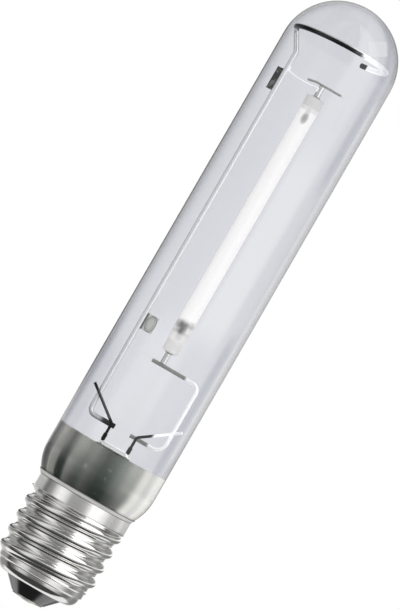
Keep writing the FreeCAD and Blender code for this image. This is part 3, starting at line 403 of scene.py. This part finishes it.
# The top of the press gets more of the glowing mirror, as a painted highlight.
press_highlight = z.rise(STEM_TOP - 2.2 * MM, STEM_TOP - 1.0 * MM) * (0.2 + stem.noise(500.0) * 0.5)
press_edge_highlight = z.rise(STEM_TOP - 0.7 * MM, STEM_TOP - 0.3 * MM) * 0.3
finish(0.8, stem.noise(120.0, stretch=(1, 1, 0.2)), press_highlight + press_edge_highlight)
stem.put_on("stem", "exhaust_tube")

# Outer bulb: drawn hard-glass tube, closed to a dome and drawn in at the neck. Drawing leaves
# long faint streaks where the wall is deeper or clearer. Clearer glass in bands, at the right edge
# and in a patch on the dome is painted highlight and painted reflection, and deeper glass in bands
# and at the left edge is painted shade. Only its outside shows a dark rim.
BULB_RADIUS, _, BULB_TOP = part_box("outer_bulb")[1]
DOME_FROM = BULB_TOP - BULB_RADIUS
HIGHLIGHT_X, HIGHLIGHT_Z = 10.9 * MM, BULB_TOP - 12 * MM
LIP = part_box("cap_shell")[1][2]
bulb, finish = clear_glass(
    "bulb_glass",
    tint=(0.966, 0.967, 0.973),
    deep_tint=(0.804, 0.809, 0.836),
    rim=(0.0, 0.0, 0.01),
)
x, y, z = bulb.axes()
turn = bulb.bearing()
over = (z - DOME_FROM).larger(0.0)
radius = (x * x + y * y + over * over) ** 0.5
outside = radius.rise(BULB_RADIUS - 0.7 * MM, BULB_RADIUS - 0.4 * MM)
outside = outside.larger(z.rise(LIP + 16 * MM, LIP + 6 * MM))
# Clearer glass in bands and at the right edge makes painted highlights.
painted_streak_highlight = turn.within(16, 36, 9) * z.rise(108 * MM, 128 * MM)
painted_glass_light = painted_streak_highlight * (0.4 - z.rise(185 * MM, 210 * MM) * 0.2)
painted_glass_light = painted_glass_light + turn.within(-22, 8, 10) * z.rise(128 * MM, 108 * MM) * 0.22
painted_glass_light = painted_glass_light + x.rise(19.6 * MM, 20.8 * MM) * z.within(75 * MM, 222 * MM, 10 * MM) * 0.3
# A clearer patch on the front of the dome makes a painted reflection.
aside, up = x - HIGHLIGHT_X, z - HIGHLIGHT_Z
painted_dome_highlight = (aside * 0.85 + up * 0.53).within(-3.0 * MM, 3.0 * MM, 0.8 * MM)
painted_dome_highlight = painted_dome_highlight * (up * 0.85 - aside * 0.53).within(-2.3 * MM, 2.3 * MM, 0.8 * MM)
painted_glass_light = painted_glass_light + painted_dome_highlight * y.rise(0, -4 * MM) * 0.85
# Deeper glass in bands and at the left edge makes painted shade.
painted_glass_shade = turn.within(-36, -25, 8) * 0.08 + z.rise(95 * MM, 200 * MM) * 0.06
shaded_ends = z.rise(180 * MM, 200 * MM) + z.rise(130 * MM, 116 * MM)
painted_glass_shade = painted_glass_shade + turn.within(52, 57, 6) * shaded_ends * 0.6
painted_glass_shade = painted_glass_shade + turn.within(-75, -52, 8) * z.rise(110 * MM, 92 * MM) * 0.25
painted_glass_shade = painted_glass_shade + x.rise(-19.6 * MM, -21.6 * MM) * z.rise(125 * MM, 100 * MM) * 0.32
streak = bulb.noise(40.0, 2.0, (1, 1, 0.12))
finish(outside, 0.35 + (streak - 0.5) * 0.2 - painted_glass_light + painted_glass_shade)
bulb.put_on("outer_bulb")

# Mirror film: barium flashed from the getters onto the bulb's inside next to the cap, a dark
# mirror in front that thins to a pale haze at one side, with painted reflection bands round it, a
# painted glow on its hazy side and painted light at the shoulder. It is placed just under the
# bulb's outer surface, where real glass, which bends the light, makes it seem to be.
FILM_TOP = STEM_TOP - 1.1 * MM
FILM_RADIUS = BULB_RADIUS - 0.25 * MM
FILM_WALL = 0.06 * MM
SHOULDER = LIP + 10.0 * MM
SHOULDER_BEND = 20.2 * MM
BEND_STEPS, STEP_DEGREES = 24, 1.5
height = FILM_TOP - SHOULDER
bpy.ops.mesh.primitive_cylinder_add(
    vertices=160,
    radius=FILM_RADIUS,
    depth=height,
    end_fill_type="NOTHING",
    location=(0, 0, SHOULDER + height / 2),
)
mirror_film = bpy.context.object
mirror_film.name = "mirror_film"
bpy.ops.object.transform_apply(location=True, rotation=False, scale=False)
bpy.ops.object.mode_set(mode="EDIT")
bpy.ops.mesh.select_mode(type="VERT")
bpy.ops.mesh.select_all(action="DESELECT")
bpy.ops.object.mode_set(mode="OBJECT")
for vertex in mirror_film.data.vertices:
    vertex.select = vertex.co.z < SHOULDER + 0.1 * MM
bpy.ops.object.mode_set(mode="EDIT")
for step in range(BEND_STEPS):
    before = math.radians(STEP_DEGREES * step)
    after = math.radians(STEP_DEGREES * (step + 1))
    wide = FILM_RADIUS - SHOULDER_BEND * (1 - math.cos(before))
    narrow = FILM_RADIUS - SHOULDER_BEND * (1 - math.cos(after))
    drop = SHOULDER_BEND * (math.sin(after) - math.sin(before))
    bpy.ops.mesh.extrude_region_move(TRANSFORM_OT_translate={"value": (0, 0, -drop)})
    bpy.ops.transform.resize(
        value=(narrow / wide, narrow / wide, 1), center_override=(0, 0, 0)
    )
bpy.ops.mesh.select_all(action="SELECT")
bpy.ops.mesh.normals_make_consistent(inside=False)
bpy.ops.object.mode_set(mode="OBJECT")
wall = mirror_film.modifiers.new("wall", "SOLIDIFY")
wall.thickness = FILM_WALL
wall.offset = -1
bpy.ops.object.modifier_apply(modifier=wall.name)
bpy.ops.object.shade_smooth_by_angle(angle=math.radians(40))
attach(mirror_film, "root")

film = Finish("mirror_film", (0.36, 0.345, 0.32), 0.2, 1.0, {"Emission Strength": 1.0})
_, y, z = film.axes()
turn = film.bearing()
cloud = film.noise(140.0, 4.0)
# Tone round the lamp: the film thinning to one side, with painted reflection bands.
density_and_reflection = film.round_tones([
    (-180, 0.50), (-100, 0.12), (-78, 0.16), (-69, 0.55), (-60, 1.00), (-53, 0.95),
    (-47, 0.72), (-41, 0.32), (-37, 0.41), (-32, 0.51), (-26, 0.41), (-19, 0.31), (-12, 0.47),
    (-7, 0.34), (0, 0.18), (12, 0.12), (21, 0.22), (27, 0.36), (32, 0.45), (37, 0.54),
    (42, 0.74), (60, 0.95), (150, 1.00), (180, 0.50),
])
haze = turn.rise(33, 45) * turn.rise(165, 110)
# Lower down the film is darker, more in some bands round the lamp.
low_down = z.rise(FILM_TOP - 2 * MM, FILM_TOP - 14 * MM)
lower_dark = 0.35 + turn.within(-22, 6, 12) * 0.32 + turn.within(-44, -38, 5) * 0.5
lower_dark = lower_dark + turn.within(-74, -64, 4) * 0.35
lower_dark = lower_dark + turn.within(-56, -47, 5) * 0.1
# The film is painted lighter at and below the shoulder, as painted light against the shade there.
shoulder_light = 1 + z.rise(SHOULDER + 1.0 * MM, SHOULDER - 2.0 * MM) * 0.5
speck = film.noise(420.0, 1.0).rise(0.70, 0.74) * turn.within(-20, 30, 10)
tone = density_and_reflection * (1 - low_down * lower_dark) * shoulder_light * (0.9 + cloud * 0.2) + speck * 0.035
film.feed(base_color=film.blend(tone, (0.0, 0.024, 0.015), (1.0, 0.985, 0.90)))
film.feed(roughness=0.2 + cloud * 0.12 + haze * 0.2 + low_down * 0.15)
film.feed(metallic=1 - haze * 0.55 - speck * 0.4 - low_down * 0.3 * (1 - haze))
# The hazy side has a painted glow.
glow = haze * (0.215 + low_down * 0.12 + turn.rise(52, 66) * 0.12)
film.feed(emission_color=film.blend(glow, (0, 0, 0), (1, 0.99, 0.95)))
edge = FILM_TOP - 0.1 * MM - y.rise(-2 * MM, 10 * MM) * 1.6 * MM
film.feed(alpha=(z + (cloud - 0.5) * 0.8 * MM - edge).rise(0.1 * MM, -0.9 * MM))
mirror_film.data.materials.append(film.material)

# Screw cap: a rolled brass shell with bright nickel plating. Rolling the thread leaves fine
# marks round it, handling leaves a few dull clouds, and the lip at its top is dull, and dark
# at its edges.
nickel = Finish("nickel_cap", (0.80, 0.79, 0.77), 0.14, 1.0)
marks = nickel.noise(260.0, 4.0, (0.3, 0.3, 6))
cloud = nickel.noise(90.0)
z = nickel.axes()[2]
on_lip = z.rise(LIP - 1.7 * MM, LIP - 1.4 * MM)
# The lip is darker, most at its top edge and in a band at its lower edge.
lip_darkening = on_lip * (0.15 + z.rise(LIP - 0.5 * MM, LIP - 0.2 * MM) * 0.65)
lip_darkening = lip_darkening + z.within(LIP - 1.75 * MM, LIP - 1.5 * MM, 0.12 * MM) * 0.6
plating = nickel.blend(cloud * marks, (0.84, 0.835, 0.82), (0.72, 0.71, 0.69))
nickel.feed(base_color=nickel.blend(lip_darkening, plating, (0.08, 0.08, 0.07)))
nickel.feed(roughness=0.06 + marks * 0.05 + cloud * 0.08 + on_lip * 0.3)
nickel.feed(metallic=1 - on_lip * 0.8)
nickel.grain(marks, 0.05, 0.03 * MM)
nickel.put_on("cap_shell")

# Insulator: black glass, poured soft into the end of the shell and pressed to a cone that
# holds the contact plate. It is glossy, with faint waves from the pressing.
black = Finish("black_glass", (0.004, 0.004, 0.005), 0.1, 0.0, {"IOR": 2.15})
waves = black.noise(120.0, 2.0)
black.feed(roughness=0.08 + waves * 0.08)
black.grain(waves, 0.1, 0.1 * MM)
black.put_on("cap_insulator")

# Contact plate and solder: a tinned brass plate held by the glass, and the spot of solder that
# closes it over the centre wire.
brass = Finish("contact_brass", (0.55, 0.53, 0.48), 0.35, 1.0)
scuffs = brass.noise(300.0, 4.0)
brass.feed(base_color=brass.blend(scuffs, (0.64, 0.61, 0.54), (0.42, 0.41, 0.38)))
brass.feed(roughness=0.25 + scuffs * 0.25)
brass.put_on("centre_contact")
solder = Finish("solder", (0.55, 0.55, 0.56), 0.35, 1.0)
solder.feed(roughness=0.22 + solder.noise(600.0) * 0.3)
solder.put_on("centre_solder")

# Inside the cap: the grey-white cement that holds the bulb, and the two copper wires from the
# stem to the shell and to the contact plate.
cement = Finish("cement", (0.72, 0.68, 0.60), 0.85)
grit = cement.noise(1500.0)
cement.feed(base_color=cement.blend(grit, (0.78, 0.74, 0.66), (0.60, 0.56, 0.49)))
cement.grain(grit, 0.4, 0.1 * MM)
cement.put_on("basing_cement")
copper = Finish("copper", (0.72, 0.40, 0.26), 0.3, 1.0)
copper.feed(base_color=copper.blend(copper.noise(300.0), (0.80, 0.46, 0.30), (0.50, 0.27, 0.19)))
copper.put_on("side_contact_wire", "centre_contact_wire")

# World: soft light on the lamp from all round, and plain white where the camera, or a ray
# through glass or off metal, looks past the lamp.
world = bpy.data.worlds.new("studio")
bpy.context.scene.world = world
world.use_nodes = True
sky = Nodes(world.node_tree)
seen = sky.node("LightPath", output="Is Camera Ray")
for ray in ("Is Glossy Ray", "Is Transmission Ray"):
    seen = seen.larger(sky.node("LightPath", output=ray))
WHITE = (1, 1, 1, 1)
soft = sky.node("Background", None, {"Color": WHITE, "Strength": 0.55})
white = sky.node("Background", None, {"Color": WHITE, "Strength": 1.0})
both = sky.node("MixShader", None, {0: seen, 1: soft, 2: white})
sky.tree.links.new(both.socket, sky.tree.nodes["World Output"].inputs["Surface"])

# Floor: a plain white sheet under the lamp, a little lit from inside so that it stays white
# and still takes the lamp's shadow.
FLOOR_SIZE, FLOOR_HEIGHT = 3.4, -0.12
inner_light = {"Emission Color": WHITE, "Emission Strength": 0.2}
paper = Finish("floor", (0.86, 0.86, 0.86), 0.9, 0.0, inner_light)
bpy.ops.mesh.primitive_plane_add(size=FLOOR_SIZE, location=(0, 0, FLOOR_HEIGHT))
floor = bpy.context.object
floor.name = "floor"
floor.data.materials.append(paper.material)
floor.visible_glossy = False

# Studio room: a drum round the lamp that only reflections see, with soft panels and dark gaps
# on its wall. The cap reflects a low band of it, and the bulb and its film the band above.
PEAK = 3.0
ROOM_RADIUS, ROOM_HEIGHT = 3.2, 7.6
no_gloss = {"Specular IOR Level": 0.0, "Emission Strength": PEAK}
room = Finish("studio_room", (0, 0, 0), 1.0, 0.0, no_gloss)
x, y, z = room.axes()
turn = room.bearing()
cap_level = room.round_tones([
    (-180, 1.30), (-160, 1.20), (-145, 0.60), (-133, 0.58), (-113, 0.54), (-106, 0.32),
    (-99, 0.05), (-88, 0.22), (-76, 0.38), (-67, 0.84), (-56, 1.28), (-45, 1.22),
    (-36, 0.95), (-27, 0.42), (-18, 0.36), (-8, 0.32), (4, 0.36), (12, 0.44), (20, 0.90),
    (26, 1.40), (46, 1.36), (56, 1.12), (66, 0.84), (76, 0.48), (87, 0.30), (100, 0.40),
    (115, 0.68), (133, 0.46), (150, 0.46), (165, 0.60), (180, 1.30),
], PEAK)
bulb_level = room.round_tones([
    (-180, 0.20), (-150, 0.05), (-125, 0.10), (-108, 0.70), (-80, 0.90), (-20, 0.95),
    (0, 1.10), (8, 1.40), (20, 1.90), (62, 1.90), (74, 1.50), (90, 1.10), (110, 0.90),
    (130, 0.80), (150, 1.10), (180, 1.00),
], PEAK)
bulb_band = z.rise(-0.01, 0.04)
level = cap_level + (bulb_level - cap_level) * bulb_band
below_thread = z.rise(-0.095, -0.130)
level = level * (1 - below_thread * 0.46)
sides = turn.within(82, 150, 10) + turn.within(-132, -102, 10) * 0.5
skirt_band = z.within(-0.054, -0.020, 0.010)
level = level + sides * skirt_band * 0.8 / PEAK
behind = (y + x * 0.3).rise(0.7, 1.5)
beneath = z.rise(-1.5, -2.3)
level = level + (behind * 0.95 / PEAK + 0.02 - level) * beneath
overhead = z.rise(0.45, 0.75)
lid_panel = turn.within(30, 75, 10) * 1.4 / PEAK
level = level + (cap_level * 0.65 + lid_panel - level) * overhead
room.feed(emission_color=room.blend(level, (0, 0, 0), (1, 1, 1)))
bpy.ops.object.select_all(action="DESELECT")
bpy.ops.mesh.primitive_cylinder_add(
    vertices=96, radius=ROOM_RADIUS, depth=ROOM_HEIGHT, location=(0, 0, 0)
)
drum = bpy.context.object
drum.name = "studio_room"
drum.data.materials.append(room.material)
drum.visible_camera = False
drum.visible_diffuse = False
drum.visible_shadow = False
drum.visible_transmission = False

# Lamps: one tall soft panel at each side of the camera, the right one wider. They stand level
# with the lamp's middle and don't show in what it reflects, which is the drum's part.
LIGHT_HEIGHT = 0.13


def softbox(name, azimuth, distance, width, tall, radiance):
    """A soft light that faces the lamp; 0 degrees is the camera's side and 90 is +X."""
    light = bpy.data.lights.new(name, "AREA")
    light.shape = "RECTANGLE"
    light.size = width
    light.size_y = tall
    light.energy = radiance * math.pi * width * tall
    lamp = bpy.data.objects.new(name, light)
    turn = math.radians(azimuth)
    lamp.location = (distance * math.sin(turn), -distance * math.cos(turn), LIGHT_HEIGHT)
    lamp.rotation_euler = (math.radians(90), 0, turn)
    lamp.visible_glossy = False
    bpy.context.scene.collection.objects.link(lamp)


softbox("left_softbox", azimuth=-50, distance=2.2, width=1.3, tall=2.6, radiance=1.4)
softbox("right_softbox", azimuth=42, distance=2.2, width=1.9, tall=2.6, radiance=1.5)

# Camera: a long lens 2.4 m away, level with the lamp's middle, and rolled by 30 degrees so
# that the lamp leans to the right.
CAMERA_SIDE, CAMERA_DISTANCE, CAMERA_HEIGHT = 0.98 * MM, 2.4, 129.2 * MM
CAMERA_ROLL = 30
view = bpy.data.cameras.new("camera")
view.sensor_fit = "VERTICAL"
view.sensor_height = 36.0
view.lens = 377.6
camera = bpy.data.objects.new("camera", view)
camera.location = (CAMERA_SIDE, -CAMERA_DISTANCE, CAMERA_HEIGHT)
camera.rotation_euler = (math.radians(90), math.radians(-CAMERA_ROLL), 0)
bpy.context.scene.collection.objects.link(camera)
bpy.context.scene.camera = camera
bpy.context.scene.view_settings.view_transform = "Standard"
